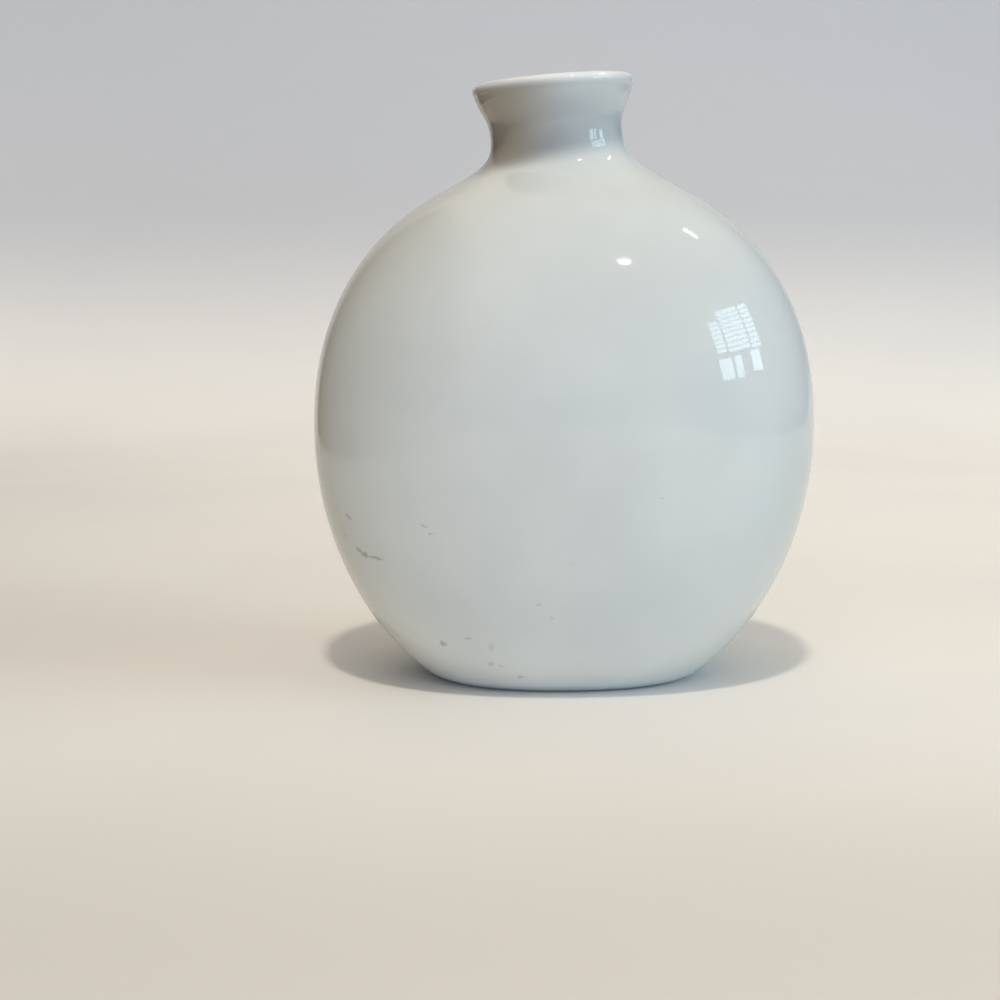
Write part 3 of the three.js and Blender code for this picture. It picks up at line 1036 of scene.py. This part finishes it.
# %% Panes and slats
WINDOW_WAY = (68.6, 19.5)
WINDOW_DISTANCE = 1.5
WINDOW_WIDTH = 0.80
WINDOW_HEIGHT = 0.55
SLAT_FILL = 0.74
PANES = (
    # left, right, low and high edges as shares of the window, and the number of slats
    (0.04, 0.22, 0.40, 0.88, 7),
    (0.26, 0.72, 0.38, 1.00, 9),
    (0.76, 1.00, 0.36, 1.00, 9),
    (0.02, 0.26, 0.00, 0.31, 1),
    (0.32, 0.46, 0.00, 0.31, 1),
    (0.68, 0.92, 0.05, 0.33, 1),
)


def window_strips():
    """Flat strips in the window's plane: its middle plus shares of its width and of its height."""
    azimuth = math.radians(WINDOW_WAY[0])
    outward = np.array(towards(*WINDOW_WAY))
    across = np.array([math.cos(azimuth), math.sin(azimuth), 0.0])
    upward = np.cross(outward, across)
    middle = np.array(LAMP_AIM) + outward * WINDOW_DISTANCE
    grids = []
    for left, right, low, high, slats in PANES:
        pitch = (high - low) / slats
        fill = SLAT_FILL if slats > 1 else 1.0
        for slat in range(slats):
            u = np.array([[left, right], [left, right]]) - 0.5
            v = low + pitch * (slat + np.array([[0.0, 0.0], [fill, fill]])) - 0.5
            points = middle + u[..., None] * across * WINDOW_WIDTH + v[..., None] * upward * WINDOW_HEIGHT
            grids.append((points, np.broadcast_to(-outward, points.shape)))
    return grids


window = weld("window_panes", window_strips())
window.visible_camera = False

# %% Daylight
DAY_BLUE = (0.52, 0.82, 1.0, 1)
DAY_PALE = (0.66, 0.90, 1.0, 1)
DAY_STRENGTH = 6.5
DAY_PATCH = 0.1
UNLIT = (0, 0, 0, 1)

daylight = bpy.data.materials.new("daylight")
daylight.use_nodes = True
day_tree = daylight.node_tree
day_place = place(day_tree, "ShaderNodeTexCoord").outputs["Object"]
day_shader = day_tree.nodes["Principled BSDF"]
day_colour = tint(day_tree, cloud(day_tree, day_place, DAY_PATCH), DAY_BLUE, DAY_PALE)
day_tree.links.new(day_colour, day_shader.inputs["Emission Color"])
day_shader.inputs["Emission Strength"].default_value = DAY_STRENGTH
day_shader.inputs["Base Color"].default_value = UNLIT
window.data.materials.append(daylight)

# %% [markdown]
# ## Shade card and room
# The left side of the vase falls off into a warm shade. A darker lamp can't do that, so a dull brown
# card stands on the left, out of the picture. It is paler at its foot and thins out at its top, front
# and back edges, so that its reflection ends in no hard line. The room beyond is a soft colour for
# each side, brightest overhead.

# %% The shade card on the left
CARD_X = -0.30
CARD_FRONT = -0.55
CARD_BACK = 0.55
CARD_TOP = 0.8
CARD_FADE = 0.2
CARD_EDGE = 0.35
CARD_BACK_EDGE = 0.15
CARD_LIFT = 0.002
CARD_PATCH = 0.1
CARD_ROUGHNESS = 0.9
CARD_PALE = (0.18, 0.13, 0.08, 1)
CARD_DULL = (0.06, 0.045, 0.03, 1)
CARD_WORN = (0.10, 0.075, 0.05, 1)


def card_sheet():
    """A flat upright sheet from front to back, facing the vase."""
    y = np.linspace(CARD_FRONT, CARD_BACK, 9)[None, :]
    z = np.linspace(CARD_LIFT, CARD_TOP, 7)[:, None]
    points = np.stack(np.broadcast_arrays(np.array([[CARD_X]]), y, z), axis=-1)
    return points, np.broadcast_to((1.0, 0.0, 0.0), points.shape)


card = weld("shade_card", [card_sheet()])
card.visible_camera = False

# %% The card's dull face
card_finish = bpy.data.materials.new("dull_card")
card_finish.use_nodes = True
card_tree = card_finish.node_tree
card_place = place(card_tree, "ShaderNodeTexCoord").outputs["Object"]
card_cloud = cloud(card_tree, card_place, CARD_PATCH)
card_parts = place(card_tree, "ShaderNodeSeparateXYZ", (0, card_place)).outputs
card_colour = tint(card_tree, card_cloud, CARD_DULL, CARD_WORN)
card_colour = tint(card_tree, grade(card_tree, card_parts["Z"], 0.0, CARD_FADE), CARD_PALE, card_colour)
card_shader = card_tree.nodes["Principled BSDF"]
card_tree.links.new(card_colour, card_shader.inputs["Base Color"])
card_shader.inputs["Roughness"].default_value = CARD_ROUGHNESS
front_fade = grade(card_tree, card_parts["Y"], CARD_FRONT, CARD_FRONT + CARD_EDGE)
back_fade = grade(card_tree, card_parts["Y"], CARD_BACK - CARD_BACK_EDGE, CARD_BACK, 1.0, 0.0)
over_fade = grade(card_tree, card_parts["Z"], CARD_TOP - CARD_EDGE, CARD_TOP, 1.0, 0.0)
card_alpha = sum_of(card_tree, "MULTIPLY", sum_of(card_tree, "MULTIPLY", front_fade, back_fade), over_fade)
card_tree.links.new(card_alpha, card_shader.inputs["Alpha"])
card.data.materials.append(card_finish)

# %% The room round the cove
ROOM_LEFT = (0.20, 0.15, 0.10, 1)
ROOM_FRONT = (0.28, 0.29, 0.34, 1)
ROOM_RIGHT = (0.08, 0.14, 0.28, 1)
TOP_LEFT = (1.06, 0.98, 0.85, 1)
TOP_RIGHT = (0.52, 0.44, 0.34, 1)
HORIZON = (0.22, 0.26, 0.34, 1)
LEFT_SPAN = (-0.8, 0.0)
RIGHT_SPAN = (0.2, 0.9)
OVERHEAD_SPAN = (-0.5, 0.5)
LOW_SPAN = (0.0, 0.3)
HIGH_SPAN = (0.3, 0.85)

room = bpy.data.worlds.new("soft_room")
bpy.context.scene.world = room
room.use_nodes = True
room_tree = room.node_tree
room_way = place(room_tree, "ShaderNodeTexCoord").outputs["Generated"]
room_parts = place(room_tree, "ShaderNodeSeparateXYZ", (0, room_way)).outputs
room_colour = tint(room_tree, grade(room_tree, room_parts["X"], *LEFT_SPAN), ROOM_LEFT, ROOM_FRONT)
room_colour = tint(room_tree, grade(room_tree, room_parts["X"], *RIGHT_SPAN), room_colour, ROOM_RIGHT)
top_colour = tint(room_tree, grade(room_tree, room_parts["X"], *OVERHEAD_SPAN), TOP_LEFT, TOP_RIGHT)
room_colour = tint(room_tree, grade(room_tree, room_parts["Z"], *LOW_SPAN), HORIZON, room_colour)
room_colour = tint(room_tree, grade(room_tree, room_parts["Z"], *HIGH_SPAN), room_colour, top_colour)
room_tree.links.new(room_colour, room_tree.nodes["Background"].inputs["Color"])
room_tree.nodes["Background"].inputs["Strength"].default_value = 1.0
bpy.context.scene.view_settings.view_transform = "Standard"
